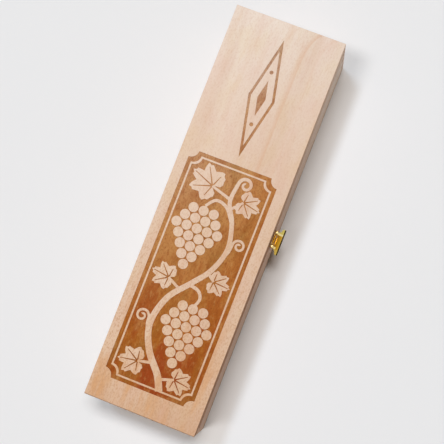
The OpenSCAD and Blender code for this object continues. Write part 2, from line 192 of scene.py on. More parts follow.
class Graph(Tree):
    """One material on a Principled shader, with the noises, ranges and mixes it is made of."""

    def __init__(self, name: str) -> None:
        """Starts the material.

        Args:
            name: The material's name.
        """
        self.material = bpy.data.materials.new(name)
        self.material.use_nodes = True
        super().__init__(self.material.node_tree)
        self.shader = self.node("BsdfPrincipled", {})
        self.node("OutputMaterial", {0: self.shader.outputs[0]})
        self.place = self.node("TexCoord", {}).outputs["Object"]
        self.x, self.y, self.z = self.node("SeparateXYZ", {0: self.place}).outputs
        self.clouds: dict[tuple[Cloud, Axis], Socket] = {}

    def fit(self, value: object, low: float, high: float, start: float = 0.0,
            end: float = 1.0) -> Socket:
        """Returns a value mapped from low..high to start..end, and held there."""
        return self.node("MapRange", {0: value, 1: low, 2: high, 3: start, 4: end}).outputs[0]

    def noise(self, vector: Socket, scale: float = 1.0, detail: float = 2.0,
              roughness: float = 0.5) -> Socket:
        """Returns the value of a noise texture, about 0.5 on average."""
        inputs = {"Vector": vector, "Scale": scale, "Detail": detail, "Roughness": roughness}
        return self.node("TexNoise", inputs).outputs[0]

    def cloud(self, cloud: Cloud, grain: Axis = Axis.ALONG) -> Socket:
        """Adds a noise that is drawn out along the grain, unless it is there already.

        Args:
            cloud: The noise.
            grain: The way in which it is drawn out.

        Returns:
            Its value, about 0.5 on average.
        """
        if (cloud, grain) not in self.clouds:
            along, across, seed = cloud.along, cloud.across, cloud.seed
            scale = (along, across, across) if grain is Axis.ALONG else (across, along, across)
            shift = (seed, seed * 0.7, seed * 1.3)
            vector = self.node("Mapping", {0: self.place, 1: shift, 3: scale}).outputs[0]
            made = self.noise(vector, detail=cloud.detail, roughness=cloud.roughness)
            self.clouds[cloud, grain] = made
        return self.clouds[cloud, grain]

    def grown(self, growth: Growth) -> Socket:
        """Returns a growth's value along the box."""
        return self.fit(self.x, growth.first_place, growth.last_place, growth.first, growth.last)

    def mix(self, amount: object, first: object, second: object, mode: str = "MIX") -> Socket:
        """Returns two colours mixed by amount."""
        inputs = {0: amount, 6: first, 7: second}
        return self.node("Mix", inputs, data_type="RGBA", blend_type=mode).outputs[2]

    def veil(self, colour: object, tone: Shade, value: Socket, start: float, full: float,
             amount: float = 1.0, mode: str = "MIX") -> Socket:
        """Returns a colour under a tone that grows to its amount as the value goes from start to full."""
        return self.mix(self.fit(value, start, full, 0.0, amount), colour, tone, mode)

    def stained(self, colour: Socket, stains: Sequence[Stain]) -> Socket:
        """Lays stains over a colour, one on another.

        Args:
            colour: The colour so far.
            stains: The stains, the lowest first.

        Returns:
            The stained colour.
        """
        for stain in stains:
            shown = self.fit(self.cloud(stain.cloud), stain.start, stain.full, 0.0, stain.amount)
            if stain.growth is not None:
                shown = self.calc("MULTIPLY", shown, self.grown(stain.growth))
            colour = self.mix(shown, colour, stain.tone, stain.mode)
        return colour

    def toned(self, value: Socket, tones: Tones) -> Socket:
        """Blends a colour from tones that each hold at one value.

        Args:
            value: The value that decides.
            tones: Each value with its tone, in order.

        Returns:
            The colour.
        """
        low, high = tones[0][0], tones[-1][0]
        made = self.node("ValToRGB", {0: self.fit(value, low, high)})
        band = made.color_ramp.elements
        band[0].color, band[1].color = tones[0][1], tones[-1][1]
        for at, colour in tones[1:-1]:
            band.new((at - low) / (high - low)).color = colour
        return made.outputs[0]

    def finish(self, colour: Socket, rough: object, specular: float,
               height: Socket | None = None, depth: float = 0.0, strength: float = 1.0) -> None:
        """Joins colour, roughness and a bump of the given depth to the shader.

        Args:
            colour: The base colour.
            rough: The roughness.
            specular: The level of the sheen, 0.5 on bare metal.
            height: The bump's height, 0 to 1, or None for a flat surface.
            depth: How deep a height of 1 is.
            strength: How far the bump counts.
        """
        self.put(self.shader.inputs["Base Color"], colour)
        self.put(self.shader.inputs["Roughness"], rough)
        self.shader.inputs["Specular IOR Level"].default_value = specular
        if height is not None:
            bump = self.node("Bump", {"Strength": strength, "Distance": depth, "Height": height})
            self.put(self.shader.inputs["Normal"], bump.outputs[0])


# ---------------------------------------------------------------- finishes


@dataclass(frozen=True)
class Finish(ABC):
    """A finish, whose material is made once and shared by the pieces that have it."""

    name: str

    def material(self) -> bpy.types.Material:
        """Returns this finish's material."""
        return bpy.data.materials.get(self.name) or self.build()

    @abstractmethod
    def build(self) -> bpy.types.Material:
        """Returns the new material."""


@dataclass(frozen=True)
class Figure:
    """One layer of a timber's figure: waves per metre along and across the grain, and its depth."""

    along: float
    across: float
    detail: float
    depth: float


@dataclass(frozen=True)
class Timber(Finish):
    """A pale timber under a thin satin seal, as a solid board or a peeled veneer."""

    tones: Tones
    late: Shade
    grain: Axis = Axis.ALONG
    pith: Point = (0.02, -0.11)
    ring_pitch: float = 0.0034
    ring_depth: float = 0.34
    ring_wander: float = 0.012
    end_from: float | None = None
    seed: float = 0.0
    bands: Figure = Figure(5.0, 48.0, 3.0, 0.26)
    streaks: Figure = Figure(14.0, 420.0, 4.0, 0.30)
    fibres: Figure = Figure(70.0, 2600.0, 2.0, 0.22)
    glow: Shade = (1.0, 0.93, 0.86, 1.0)
    fleck: Shade = shade(196, 138, 92)
    cut: Shade = shade(150, 108, 74)
    rough: float = 0.58
    sheen: float = 0.35
    flecks: float = 0.45
    relief: float = 0.00010

    # The seeds of these clouds are counted from the timber's own.
    WANDER = Cloud(5.0, 30.0, 3.0)
    SPOTS = Cloud(160.0, 900.0, 9.0, 1.0)
    PORES = Cloud(900.0, 2100.0, 5.0, 3.0)

    FIGURE_ROUGHNESS = 0.55
    RING_RISE = (0.30, 0.86)
    RING_FALL = (0.90, 1.0, 1.0, 0.0)
    LATE_SHOWS = (0.42, 0.72)
    GLOW_SHOWS = (0.45, 0.25)
    GLOW_SHARE = 0.35
    FLECK_SHOWS = (0.69, 0.76)
    PORES_SHOW = (0.40, 0.70, 0.35, 0.85)
    CUT_AMOUNT = 0.22
    FIBRE_HEIGHT = 0.6
    STREAK_HEIGHT = 0.4
    RING_SINK = 0.25
    HEIGHTS = (0.2, 0.8)
    HOLLOWS_ROUGHER = 0.08
    TOPS_SMOOTHER = 0.06

    def own(self, graph: Graph, cloud: Cloud) -> Socket:
        """Returns a cloud's value on this timber, along its grain and with its seed."""
        return graph.cloud(replace(cloud, seed=self.seed + cloud.seed), self.grain)

    def lengthwise(self, graph: Graph) -> Socket:
        """Returns the coordinate along the grain."""
        return graph.x if self.grain is Axis.ALONG else graph.y

    def sideways(self, graph: Graph) -> Socket:
        """Returns the level coordinate across the grain."""
        return graph.y if self.grain is Axis.ALONG else graph.x

    def rings(self, graph: Graph) -> Socket:
        """Draws the growth rings.

        Args:
            graph: The material to build in.

        Returns:
            Their value, 0 in early wood and 1 on the late wood's dark line.
        """
        reach = graph.calc("MULTIPLY", self.own(graph, self.WANDER), self.ring_wander)
        a = graph.calc("SUBTRACT", self.sideways(graph), self.pith[0])
        b = graph.calc("ADD", graph.calc("SUBTRACT", graph.z, self.pith[1]), reach)
        radius = graph.calc("SQRT", graph.calc("ADD", graph.calc("MULTIPLY", a, a),
                                               graph.calc("MULTIPLY", b, b)))
        turns = graph.calc("FRACT", graph.calc("DIVIDE", radius, self.ring_pitch))
        rise = graph.calc("POWER", graph.fit(turns, *self.RING_RISE), 2.0)
        return graph.calc("MULTIPLY", rise, graph.fit(turns, *self.RING_FALL))

    def figure(self, graph: Graph) -> tuple[Socket, Socket]:
        """Lays the figure over the base tones.

        Args:
            graph: The material to build in.

        Returns:
            The colour, and the height of the surface.
        """
        colour = graph.toned(self.lengthwise(graph), self.tones)
        layers = []
        for number, layer in enumerate((self.bands, self.streaks, self.fibres)):
            cloud = Cloud(layer.along, layer.across, number, layer.detail, self.FIGURE_ROUGHNESS)
            grey = self.own(graph, cloud)
            layers.append(grey)
            colour = graph.veil(colour, self.late, grey, *self.LATE_SHOWS, layer.depth)
            glow = layer.depth * self.GLOW_SHARE
            colour = graph.veil(colour, self.glow, grey, *self.GLOW_SHOWS, glow, "SOFT_LIGHT")
        ring = self.rings(graph)
        colour = graph.mix(graph.calc("MULTIPLY", ring, self.ring_depth), colour, self.late)
        spots = self.own(graph, self.SPOTS)
        colour = graph.veil(colour, self.fleck, spots, *self.FLECK_SHOWS, self.flecks)
        _, streaks, fibres = layers
        height = graph.calc("MULTIPLY_ADD", fibres, self.FIBRE_HEIGHT,
                            graph.calc("MULTIPLY", streaks, self.STREAK_HEIGHT))
        return colour, graph.calc("SUBTRACT", height, graph.calc("MULTIPLY", ring, self.RING_SINK))

    def end_grain(self, graph: Graph, colour: Socket) -> Socket:
        """Darkens and pits the faces that lie beyond end_from, where the fibres are cut across.

        Args:
            graph: The material to build in.
            colour: The colour so far.

        Returns:
            The colour with its end grain.
        """
        reach = graph.calc("ABSOLUTE", self.lengthwise(graph))
        pores = graph.fit(self.own(graph, self.PORES), *self.PORES_SHOW)
        darker = graph.mix(self.CUT_AMOUNT, graph.mix(pores, colour, self.late), self.cut)
        return graph.mix(graph.calc("GREATER_THAN", reach, self.end_from), colour, darker)

    def build(self) -> bpy.types.Material:
        """Builds the material.

        Returns:
            The new material.
        """
        graph = Graph(self.name)
        colour, height = self.figure(graph)
        if self.end_from is not None:
            colour = self.end_grain(graph, colour)
        rough = graph.fit(height, *self.HEIGHTS, self.rough + self.HOLLOWS_ROUGHER,
                          self.rough - self.TOPS_SMOOTHER)
        graph.finish(colour, rough, self.sheen, height, self.relief)
        return graph.material


@dataclass(frozen=True)
class Veneer(Timber):
    """The lid's face veneer: nearly straight, with a few faint arches, and painted shade that darkens it
    towards the clasp.
    """

    ROSY = (0.985, 0.935, 0.945, 1.0)
    GOLDEN = (0.985, 0.975, 0.885, 1.0)
    AMBER = shade(206, 152, 102)
    DARK_SPECK = shade(190, 142, 104)
    PALE_SPECK = shade(234, 208, 180)
    BLOTCH = Cloud(30.0, 62.0, 11.0, 3.0, 0.6)
    FLAME = Cloud(22.0, 110.0, 17.0, 3.0, 0.55)
    GRIT = Cloud(560.0, 820.0, 13.0, 3.0)
    ARCH_WANDER = Cloud(7.0, 10.0, 4.0, 1.0)
    TO_FOOT = Growth(-0.02, -0.15, 0.15, 1.0)
    GRITTIER = Growth(0.06, -0.10, 0.18, 0.66)

    # Painted shade: the face darkens from the hinge side to the clasp side, as the light falls off there.
    painted_shade_to_clasp: Shade = (0.920, 0.872, 0.834, 1.0)
    painted_shade_to_clasp_inset: float = 0.004
    stains: tuple[Stain, ...] = (
        Stain(ROSY, BLOTCH, 0.51, 0.66, 0.65, "MULTIPLY"),
        Stain(GOLDEN, BLOTCH, 0.49, 0.34, 0.65, "MULTIPLY"),
        Stain(AMBER, FLAME, 0.48, 0.66, 0.92, growth=TO_FOOT))
    # Painted shade: a dark line along the foot edge of the face, where that edge falls into shade.
    painted_foot_edge_shade: Shade = shade(112, 72, 44)
    painted_foot_edge_shade_amount: float = 0.70
    painted_foot_edge_shade_reach: Point = (0.0009, 0.0003)
    specks: tuple[Stain, ...] = (
        Stain(DARK_SPECK, GRIT, 0.49, 0.65, growth=GRITTIER),
        Stain(PALE_SPECK, GRIT, 0.46, 0.30, 0.15, growth=GRITTIER))
    arch: Shade = shade(210, 160, 124)
    arch_side: float = -0.017
    arch_turn: Growth = Growth(NECK_END - 0.068, NECK_END + 0.004, -6.0, 1.2)
    arch_rise: float = 0.0045
    arch_wander: float = 0.003
    arch_edge: Point = (-0.0008, 0.0002)
    arch_fade: Point = (0.0004, 0.0042)
    arches: tuple[Point, ...] = ((0.0, 0.40), (-0.0125, 0.16), (0.019, 0.14), (0.041, 0.12))

    def figure(self, graph: Graph) -> tuple[Socket, Socket]:
        """Lays painted shade towards the clasp, stains, a painted line of shade along the foot edge,
        specks and faint arches over the timber's own figure.

        Args:
            graph: The material to build in.

        Returns:
            The colour, and the height of the surface.
        """
        colour, height = super().figure(graph)
        # Painted shade towards the clasp side.
        inset = self.painted_shade_to_clasp_inset
        colour = graph.veil(colour, self.painted_shade_to_clasp, graph.y, BACK - inset, FRONT + inset, mode="MULTIPLY")
        colour = graph.stained(colour, self.stains)
        # Painted shade along the foot edge.
        start, full = (FOOT_END + reach for reach in self.painted_foot_edge_shade_reach)
        colour = graph.veil(colour, self.painted_foot_edge_shade, graph.x, start, full, self.painted_foot_edge_shade_amount)
        colour = graph.stained(colour, self.specks)
        return self.arched(graph, colour), height

    def arched(self, graph: Graph, colour: Socket) -> Socket:
        """Adds faint lines that run with the grain and turn off at the neck end.

        Args:
            graph: The material to build in.
            colour: The colour so far.

        Returns:
            The colour with its lines.
        """
        rise = graph.calc("EXPONENT", graph.grown(self.arch_turn))
        line = graph.calc("MULTIPLY_ADD", rise, self.arch_rise, graph.y)
        line = graph.calc("MULTIPLY_ADD", graph.cloud(self.ARCH_WANDER), self.arch_wander, line)
        for offset, strength in self.arches:
            gap = graph.calc("SUBTRACT", line, self.arch_side + offset)
            dark = graph.calc("MULTIPLY", graph.fit(gap, *self.arch_edge),
                              graph.fit(gap, *self.arch_fade, strength, 0.0))
            colour = graph.mix(dark, colour, self.arch)
        return colour


@dataclass(frozen=True)
class PlyEdge(Finish):
    """The cut edge of plywood: its veneers in turn, thin glue lines, and the saw's burn, grown darker
    towards the foot end as painted shade.
    """

    underside: float
    thickness: float
    plies: int = 3
    light: Shade = shade(216, 180, 144)
    dark: Shade = shade(160, 112, 72)
    glue: Shade = shade(104, 66, 40)
    burn: Shade = shade(104, 66, 42)
    # The burn is the saw's own; its growth from the neck half to the foot end is painted shade.
    burn_and_painted_shade_growth: Growth = Growth(0.11, -0.06, -0.14, 0.46)
    burn_patches: float = 0.3
    rough: float = 0.8
    sheen: float = 0.08
    relief: float = 0.00008

    FIBRES = Cloud(900.0, 900.0, 1.0, 4.0)
    LINES = Cloud(60.0, 2400.0, 2.0)
    PATCHES = Cloud(40.0, 200.0, 3.0)
    LINES_SHOW = (0.4, 0.7, 0.0, 0.30)
    FIBRES_SHOW = (0.35, 0.65, 0.35, 0.80)
    SEAM_SHOWS = (0.015, 0.045, 0.7, 0.0)
    SEAM_LEVELS = (0.5, 0.46)

    def build(self) -> bpy.types.Material:
        """Builds the material.

        Returns:
            The new material.
        """
        graph = Graph(self.name)
        level = graph.calc("DIVIDE", graph.calc("SUBTRACT", graph.z, self.underside), self.thickness)
        count = graph.calc("MULTIPLY", level, float(self.plies))
        middle = graph.calc("PINGPONG", graph.calc("FLOOR", count), 1.0)
        fibres = graph.cloud(self.FIBRES)
        lines = graph.fit(graph.cloud(self.LINES), *self.LINES_SHOW)
        long_grain = graph.mix(lines, self.light, self.dark)
        end_grain = graph.mix(graph.fit(fibres, *self.FIBRES_SHOW), self.light, self.dark)
        colour = graph.mix(middle, long_grain, end_grain)
        seam = graph.fit(graph.calc("PINGPONG", count, 0.5), *self.SEAM_SHOWS)
        inside = graph.calc("COMPARE", level, *self.SEAM_LEVELS)
        colour = graph.mix(graph.calc("MULTIPLY", seam, inside), colour, self.glue)
        # Burn, grown towards the foot end as painted shade.
        burnt = graph.calc("MULTIPLY_ADD", graph.cloud(self.PATCHES), self.burn_patches,
                           graph.grown(self.burn_and_painted_shade_growth))
        colour = graph.mix(burnt, colour, self.burn)
        graph.finish(colour, self.rough, self.sheen, fibres, self.relief)
        return graph.material


@dataclass(frozen=True)
class Scorch(Finish):
    """The floor of a burnt engraving: tan to red-brown, mottled, deeper to the foot and the clasp."""

    BURNT = shade(146, 72, 24)
    TAN = shade(198, 146, 88)
    BROAD = Cloud(20.0, 58.0, 1.0)
    PATCHES = Cloud(40.0, 80.0, 9.0, 3.0, 0.6)
    MOTTLE = Cloud(170.0, 330.0, 5.0, 4.0, 0.65)
    GRIT = Cloud(620.0, 900.0, 7.0)
    TICKS = Cloud(260.0, 2400.0, 3.0)
    OLIVE_STAIN = Stain(shade(146, 100, 44), BROAD, 0.50, 0.36, 0.45)
    RUST_STAIN = Stain(shade(152, 58, 26), BROAD, 0.49, 0.62, growth=Growth(-0.03, -0.13, 0.10, 0.75))
    SOOT_STAIN = Stain(shade(112, 56, 20), GRIT, 0.50, 0.70, 0.35)
    CHAR_STAIN = Stain(shade(98, 40, 14), TICKS, 0.50, 0.75, 0.18)

    tones: Tones = (
        (FOOT_END + 0.005, shade(158, 86, 32)), (FOOT_END + 0.077, shade(172, 102, 38)),
        (0.014, shade(192, 135, 81)), (0.100, shade(195, 148, 108)),
        (NECK_END - 0.020, shade(199, 164, 136)))
    stains: tuple[Stain, ...] = (
        OLIVE_STAIN, RUST_STAIN,
        Stain(BURNT, PATCHES, 0.50, 0.68, 0.40), Stain(TAN, PATCHES, 0.46, 0.30, 0.35),
        Stain(BURNT, MOTTLE, 0.50, 0.72, 0.55), Stain(TAN, MOTTLE, 0.46, 0.28, 0.50),
        SOOT_STAIN, CHAR_STAIN)
    to_clasp: Point = (BACK - 0.014, FRONT + 0.004)
    shift_level: float = 0.28
    shift: Growth = Growth(-0.09, 0.03, 0.030, 0.155)
    rough: Point = (0.72, 0.86)
    sheen: float = 0.05
    relief: float = 0.00016

    TICKS_SHOW = (0.3, 0.7)
    TICK_HEIGHT = 0.5

    def build(self) -> bpy.types.Material:
        """Builds the material.

        Returns:
            The new material.
        """
        graph = Graph(self.name)
        to_clasp = graph.calc("POWER", graph.fit(graph.y, *self.to_clasp), 2.0)
        shift = graph.calc("MULTIPLY", graph.calc("SUBTRACT", to_clasp, self.shift_level),
                           graph.grown(self.shift))
        colour = graph.toned(graph.calc("SUBTRACT", graph.x, shift), self.tones)
        colour = graph.stained(colour, self.stains)
        ticks = graph.cloud(self.TICKS)
        height = graph.calc("MULTIPLY_ADD", ticks, self.TICK_HEIGHT, graph.cloud(self.MOTTLE))
        rough = graph.fit(ticks, *self.TICKS_SHOW, *self.rough)
        graph.finish(colour, rough, self.sheen, height, self.relief)
        return graph.material


@dataclass(frozen=True)
class Zone:
    """A part of the clasp with painted light on it, a highlight in some places and shade in others,
    between limits in millimetres.

    They are measured aside from the clasp's middle towards the neck end, out from the box's
    front, and below the top of the lid's plate.
    """

    tone: Shade
    amount: float = 1.0
    aside: Point | None = None
    out: Point | None = None
    below: Point | None = None
    blur: float = 0.12

    def mask(self, graph: Graph) -> Socket | float:
        """Marks the zone, softly at its limits.

        Args:
            graph: The material to build in.

        Returns:
            How much of the tone there is.
        """
        aside = graph.calc("SUBTRACT", graph.x, CLASP_MIDDLE)
        out = graph.calc("SUBTRACT", FRONT, graph.y)
        below = graph.calc("SUBTRACT", PLATE_TOP, graph.z)
        inside = self.amount
        for value, limits in ((aside, self.aside), (out, self.out), (below, self.below)):
            if limits is not None:
                low, high = limits
                enter = graph.fit(value, (low - self.blur) * MM, (low + self.blur) * MM)
                leave = graph.fit(value, (high - self.blur) * MM, (high + self.blur) * MM, 1.0, 0.0)
                inside = graph.calc("MULTIPLY", graph.calc("MULTIPLY", enter, leave), inside)
        return inside


@dataclass(frozen=True)
class Metal(Finish):
    """Thin stamped metal: bright where it is rubbed, duller and browner where it is not, with painted
    highlights and painted shade laid over it in places.
    """

    bright: Shade
    dull: Shade
    rough: float = 0.26
    wear: float = 0.35
    painted_light_zones: tuple[Zone, ...] = ()

    BRUSHED = Cloud(220.0, 5200.0, 2.0)
    BRUSHED_HEIGHT = 0.5
    WEAR_SHOWS = (0.42, 0.72)
    SPECKS_SHOW = (0.68, 0.76, 0.0, 0.7)
    SPECKS_ROUGHER = 0.2
    WORN_SHOWS = (0.35, 0.70)
    BRIGHT_SMOOTHER = 0.05
    WORN_ROUGHER = 0.14
    SHEEN = 0.5
    RELIEF = 0.000015
    RELIEF_STRENGTH = 0.6

    def build(self) -> bpy.types.Material:
        """Builds the material.

        Returns:
            The new material.
        """
        graph = Graph(self.name)
        cloud = graph.noise(graph.place, scale=260.0, detail=4.0, roughness=0.6)
        grit = graph.noise(graph.place, scale=5200.0)
        colour = graph.veil(self.bright, self.dull, cloud, *self.WEAR_SHOWS, self.wear)
        specks = graph.fit(graph.noise(graph.place, scale=1400.0), *self.SPECKS_SHOW)
        colour = graph.mix(specks, colour, self.dull)
        # Painted highlights and painted shade, laid on one by one.
        for zone in self.painted_light_zones:
            colour = graph.mix(zone.mask(graph), colour, zone.tone)
        rough = graph.fit(cloud, *self.WORN_SHOWS, self.rough - self.BRIGHT_SMOOTHER,
                          self.rough + self.WORN_ROUGHER)
        rough = graph.calc("MULTIPLY_ADD", specks, self.SPECKS_ROUGHER, rough)
        height = graph.calc("MULTIPLY_ADD", graph.cloud(self.BRUSHED), self.BRUSHED_HEIGHT, grit)
        graph.finish(colour, rough, self.SHEEN, height, self.RELIEF, self.RELIEF_STRENGTH)
        graph.shader.inputs["Metallic"].default_value = 1.0
        return graph.material


# ---------------------------------------------------------------- the bench: shared modelling steps

SMOOTH_BELOW = math.radians(35.0)
ROUND_ABOVE = math.radians(50.0)
FLAT_WITHIN = math.radians(0.4)
WELD = 0.002 * MM
UPRIGHT = 0.3  # the most that the normal of an upright face rises or falls


def deselect() -> None:
    """Deselects every object."""
    for piece in bpy.context.view_layer.objects:
        piece.select_set(False)


def pick(piece: bpy.types.Object) -> None:
    """Makes a piece the active object and the only selected one.

    Args:
        piece: The object.
    """
    deselect()
    piece.select_set(True)
    bpy.context.view_layer.objects.active = piece


@contextmanager
def editing(piece: bpy.types.Object,
            edges: Callable[[Vector, Vector], bool] | None = None) -> Iterator[None]:
    """Opens a piece in edit mode with the edges that a test picks, or all of it, selected.

    Args:
        piece: The mesh object.
        edges: Takes an edge's two end points and says whether it is selected.

    Yields:
        Nothing; the body of the with block runs in edit mode.
    """
    pick(piece)
    mesh = piece.data
    for parts in (mesh.vertices, mesh.edges, mesh.polygons):
        parts.foreach_set("select", [edges is None] * len(parts))
    if edges is not None:
        for edge in mesh.edges:
            ends = [mesh.vertices[i].co for i in edge.vertices]
            edge.select = bool(edges(*ends))
    bpy.context.tool_settings.mesh_select_mode = (False, edges is not None, edges is None)
    bpy.ops.object.mode_set(mode="EDIT")
    yield
    bpy.ops.object.mode_set(mode="OBJECT")


def modify(piece: bpy.types.Object, kind: str, **settings: object) -> None:
    """Adds a modifier with the given settings and applies it.

    Args:
        piece: The object.
        kind: The modifier's type.
        **settings: Its properties.
    """
    pick(piece)
    modifier = piece.modifiers.new(kind.lower(), kind)
    for key, value in settings.items():
        setattr(modifier, key, value)
    bpy.ops.object.modifier_apply(modifier=modifier.name)


def cut_away(piece: bpy.types.Object, tool: bpy.types.Object) -> None:
    """Cuts a tool's solid out of a piece and removes the tool."""
    modify(piece, "BOOLEAN", operation="DIFFERENCE", object=tool, solver="EXACT", use_self=True)
    bpy.data.objects.remove(tool)


def joined(pieces: Sequence[bpy.types.Object]) -> bpy.types.Object:
    """Joins objects into the first.

    Args:
        pieces: The objects.

    Returns:
        The first object, with all their solids.
    """
    pick(pieces[0])
    for piece in pieces:
        piece.select_set(True)
    if len(pieces) > 1:
        bpy.ops.object.join()
    return pieces[0]


def round_edges(piece: bpy.types.Object, width: float) -> None:
    """Takes the sharpness off a piece's edges, by a width in millimetres."""
    modify(piece, "BEVEL", width=width * MM, segments=2, limit_method="ANGLE",
           angle_limit=ROUND_ABOVE, use_clamp_overlap=True)


def soften(piece: bpy.types.Object) -> None:
    """Shades curved faces smooth and keeps flat ones flat.

    Args:
        piece: The object.
    """
    pick(piece)
    bpy.ops.object.shade_smooth_by_angle(angle=SMOOTH_BELOW)
    modify(piece, "WEIGHTED_NORMAL", mode="FACE_AREA", weight=90, keep_sharp=True)


def copy_of_node(node: str, name: str) -> bpy.types.Object:
    """Copies a frame node's mesh into a new piece, with its triangles merged into clean faces.

    Args:
        node: The frame node.
        name: The new piece's name.

    Returns:
        The new piece.
    """
    piece = bpy.data.objects.new(name, frame["nodes"][node].data.copy())
    piece.data.name = name
    bpy.context.scene.collection.objects.link(piece)
    pick(piece)
    bpy.ops.mesh.customdata_custom_splitnormals_clear()
    with editing(piece):
        bpy.ops.mesh.remove_doubles(threshold=WELD)
        bpy.ops.mesh.dissolve_limited(angle_limit=FLAT_WITHIN)
    return piece


def prism(name: str, outline: Outline, low: float, high: float) -> bpy.types.Object:
    """Stands a flat outline up into a closed block.

    Args:
        name: The object's name.
        outline: Its corners in millimetres, in order round it.
        low: The underside's height in millimetres.
        high: The top's height in millimetres.

    Returns:
        The block.
    """
    deselect()
    bpy.ops.mesh.primitive_circle_add(vertices=len(outline), radius=1.0, fill_type="NGON")
    block = bpy.context.object
    block.name = name
    for vertex, (x, y) in zip(block.data.vertices, outline):
        vertex.co = (x * MM, y * MM, low * MM)
    with editing(block):
        lift = {"value": (0.0, 0.0, (high - low) * MM)}
        bpy.ops.mesh.extrude_region_move(TRANSFORM_OT_translate=lift)
        bpy.ops.mesh.select_all(action="SELECT")
        bpy.ops.mesh.normals_make_consistent(inside=False)
    return block


def dress(piece: bpy.types.Object, *finishes: Finish) -> None:
    """Gives a piece its finishes, the first one everywhere.

    Args:
        piece: The object.
        *finishes: The finishes, in the order of its material slots.
    """
    piece.data.materials.clear()
    for finish in finishes:
        piece.data.materials.append(finish.material())
    for polygon in piece.data.polygons:
        polygon.material_index = 0


def hand_in(piece: bpy.types.Object, body: str, slot: str, *nodes: str) -> None:
    """Sets a piece on its body in place of its frame nodes and reports it.

    Args:
        piece: The finished piece.
        body: The frame body that it rides on.
        slot: The record's material slot; not used.
        *nodes: The frame nodes that it stands for.
    """
    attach(piece, body)
    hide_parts(*nodes)
    LOG.info("%s: rides on %s, %d faces", piece.name, body, len(piece.data.polygons))


# ---------------------------------------------------------------- flat drawing of the ornament

SCOOP_STEPS = 8


def spline(points: Sequence[Point], steps: int = 8) -> Outline:
    """Draws a smooth line through points.

    Args:
        points: The points to pass through.
        steps: How many short lines lie between two of them.

    Returns:
        The line's points.
    """
    padded = [points[0], *points, points[-1]]
    line = []
    for a, b, c, d in zip(padded, padded[1:], padded[2:], padded[3:]):
        for step in range(steps):
            t = step / steps
            line.append(tuple(
                0.5 * (2 * q + (r - p) * t + (2 * p - 5 * q + 4 * r - s) * t * t
                       + (3 * q - p - 3 * r + s) * t ** 3)
                for p, q, r, s in zip(a, b, c, d)))
    return [*line, tuple(points[-1])]


def ribbon(line: Sequence[Point], start: float, end: float) -> Outline:
    """Gives a line a width that tapers from start to end.

    Args:
        line: The ribbon's middle line.
        start: Its width at the first point.
        end: Its width at the last point.

    Returns:
        The ribbon's outline.
    """
    left, right, last = [], [], len(line) - 1
    for number, (x, y) in enumerate(line):
        (ax, ay), (bx, by) = line[max(number - 1, 0)], line[min(number + 1, last)]
        length = math.hypot(bx - ax, by - ay)
        half = (start + (end - start) * number / last) / 2 / length
        left.append((x - (by - ay) * half, y + (bx - ax) * half))
        right.append((x + (by - ay) * half, y - (bx - ax) * half))
    return left + right[::-1]


def arc(centre: Point, radius: float, start: float, end: float, steps: int) -> Outline:
    """Returns the points of an arc, its angles in degrees."""
    angles = (math.radians(start + (end - start) * n / steps) for n in range(steps + 1))
    return [(centre[0] + radius * math.cos(a), centre[1] + radius * math.sin(a)) for a in angles]


def ring(centre: Point, radius: float, sides: int) -> Outline:
    """Returns a circle's outline, drawn with so many sides."""
    return arc(centre, radius, 0, 360 - 360 / sides, sides - 1)


def scooped(half_width: float, half_height: float, scoop: float) -> Outline:
    """Draws a rectangle whose corners are scooped out.

    Args:
        half_width: Half its width.
        half_height: Half its height.
        scoop: The radius of its scoops.

    Returns:
        Its outline.
    """
    corners = ((1, 1, 270), (-1, 1, 0), (-1, -1, 90), (1, -1, 180))
    return [point for sx, sy, start in corners
            for point in arc((sx * half_width, sy * half_height), scoop, start, start - 90, SCOOP_STEPS)]


def lozenge(half_width: float, half_height: float) -> Outline:
    """Returns an upright lozenge."""
    return [(0.0, half_height), (-half_width, 0.0), (0.0, -half_height), (half_width, 0.0)]


@dataclass(frozen=True)
class VineLeaf:
    """A five-lobed vine leaf: its middle, its size to the tip and the way the tip points."""

    x: float
    y: float
    size: float
    angle: float

    EDGE = ((0, 1.0), (6, 0.87), (12, 0.89), (19, 0.74), (26, 0.62), (33, 0.72), (40, 0.84),
            (48, 0.95), (55, 0.84), (62, 0.86), (70, 0.72), (80, 0.62), (90, 0.70), (99, 0.80),
            (108, 0.86), (117, 0.76), (126, 0.78), (137, 0.68), (148, 0.66), (160, 0.54), (171, 0.22))
    VEINS = ((0, 0.86), (50, 0.76), (-50, 0.76), (110, 0.62), (-110, 0.62))
    VEIN_WIDTHS = (1.2, 0.55)

    @property
    def base(self) -> Point:
        """Where the leaf joins its stalk."""
        return self.spot(180, 0.2)

    def spot(self, angle: float, reach: float) -> Point:
        """Returns the point at an angle from the tip and a share of the size."""
        turn = math.radians(self.angle + angle)
        return (self.x + self.size * reach * math.cos(turn), self.y + self.size * reach * math.sin(turn))

    def outline(self) -> Outline:
        """Returns the leaf's edge."""
        other = [(360 - angle, reach) for angle, reach in reversed(self.EDGE[1:])]
        return [self.spot(angle, reach) for angle, reach in (*self.EDGE, *other)]

    def veins(self) -> list[Outline]:
        """Returns the five veins, widest at the base."""
        return [ribbon([self.base, self.spot(*tip)], *self.VEIN_WIDTHS) for tip in self.VEINS]


@dataclass(frozen=True)
class Tendril:
    """A tendril that leads in and winds up.

    It has the points of its lead, the curl's middle, radius, first angle in degrees and turns,
    which are below 0 for clockwise, and its width at the root.
    """

    lead: tuple[Point, ...]
    centre: Point
    radius: float
    start: float
    turns: float
    width: float

    STEPS = 26
    TIGHTENS = 0.78
    TIP_WIDTH = 1.7

    def outline(self) -> Outline:
        """Draws the tendril.

        Returns:
            Its edge.
        """
        wound = []
        for number in range(self.STEPS + 1):
            share = number / self.STEPS
            angle = math.radians(self.start + 360 * self.turns * share)
            reach = self.radius * (1 - self.TIGHTENS * share)
            wound.append((self.centre[0] + reach * math.cos(angle),
                          self.centre[1] + reach * math.sin(angle)))
        return ribbon(spline([*self.lead, *wound], 3), self.width, self.TIP_WIDTH)


